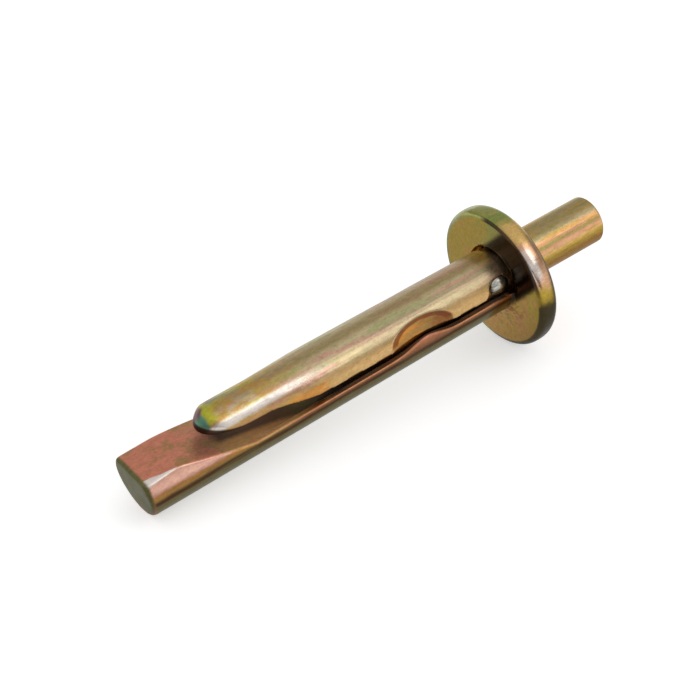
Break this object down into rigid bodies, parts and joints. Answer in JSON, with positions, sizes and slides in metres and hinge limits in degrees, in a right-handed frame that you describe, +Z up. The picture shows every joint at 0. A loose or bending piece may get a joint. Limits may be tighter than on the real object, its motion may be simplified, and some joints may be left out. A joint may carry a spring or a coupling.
{
  "type": "expansion bolt",
  "caption": "Hammer-set expansion bolt with a round head, a grooved shank with a wedge ramp, and an expansion nail.",
  "frame": {"origin": "on the surface it lies on, under the middle of the bounding box", "axes": "+X along the bolt from the tip to the head, +Z up with the nail's side on top, +Y to the side"},
  "size_m": [0.0496, 0.0134, 0.0134],
  "materials": {
    "anchor_body": "yellow zinc plated, satin",
    "expansion_nail": "yellow zinc plated, satin"
  },
  "bodies": {
    "body": {"anchor_body": "anchor_body"},
    "nail": {"expansion_nail": "expansion_nail"}
  },
  "joints": [
    {"name": "nail_drive", "type": "slide", "parent": "body", "child": "nail", "axis": [-0.9963, 0, -0.0859], "range_m": [0, 0.0093]}
  ]
}
